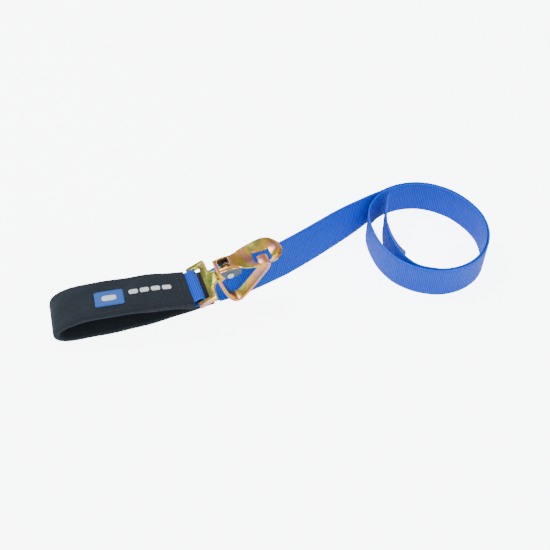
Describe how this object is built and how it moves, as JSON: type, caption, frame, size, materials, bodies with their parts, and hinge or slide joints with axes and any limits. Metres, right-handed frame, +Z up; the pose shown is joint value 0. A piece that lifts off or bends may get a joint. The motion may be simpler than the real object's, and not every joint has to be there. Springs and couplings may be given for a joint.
{
  "type": "ratchet tie down",
  "caption": "Webbing tie-down strap with a sleeved axle loop, a sprung flat snap hook on the loop's end and the free tail rolled in a standing coil.",
  "frame": {"origin": "middle of the whole piece in plan, on the ground it lies on", "axes": "+X along its length from the closed end of the axle loop to the coil, +Y away from the side the hook's throat faces, +Z up"},
  "size_m": [0.5794, 0.1609, 0.0846],
  "materials": {
    "webbing": "woven polyester",
    "sleeve": "matt fleece",
    "thread_black": "thread",
    "thread_blue": "thread",
    "badge": "woven patch",
    "white_weave": "woven thread",
    "label": "smooth printed cloth, blank",
    "hook_zinc": "yellow zinc plate",
    "rivet_steel": "bright zinc plate"
  },
  "bodies": {
    "strap": {"tie_webbing": "webbing", "axle_webbing": "webbing", "axle_sleeve": "sleeve", "sleeve_seam": "thread_black", "sleeve_tack_hook_end": "thread_black", "sleeve_tack_splice_end": "thread_black", "sleeve_badge": "badge", "badge_emblem": "white_weave", "badge_stitching": "white_weave", "sleeve_flash": "white_weave", "eye_stitching": "thread_blue", "splice_stitching_front": "thread_blue", "splice_stitching_back": "thread_blue", "strap_end_tack": "thread_blue", "info_label": "label", "label_stitching": "thread_black"},
    "hook": {"hook_body": "hook_zinc", "latch_rivet": "rivet_steel", "latch_spring": "rivet_steel"},
    "latch": {"hook_latch": "hook_zinc"}
  },
  "joints": [
    {"name": "hook_swing", "type": "hinge", "parent": "strap", "child": "hook", "pos_m": [-0.10608, -0.02729, 0.04769], "axis": [0.0894, -0.993, 0.0772], "range_deg": [0, 35]},
    {"name": "latch_pivot", "type": "hinge", "parent": "hook", "child": "latch", "pos_m": [-0.06263, -0.022, 0.06535], "axis": [-0.0894, 0.993, -0.0772], "range_deg": [0, 26], "stiffness_Nm_per_rad": 0.3, "springref_deg": -22.92}
  ]
}
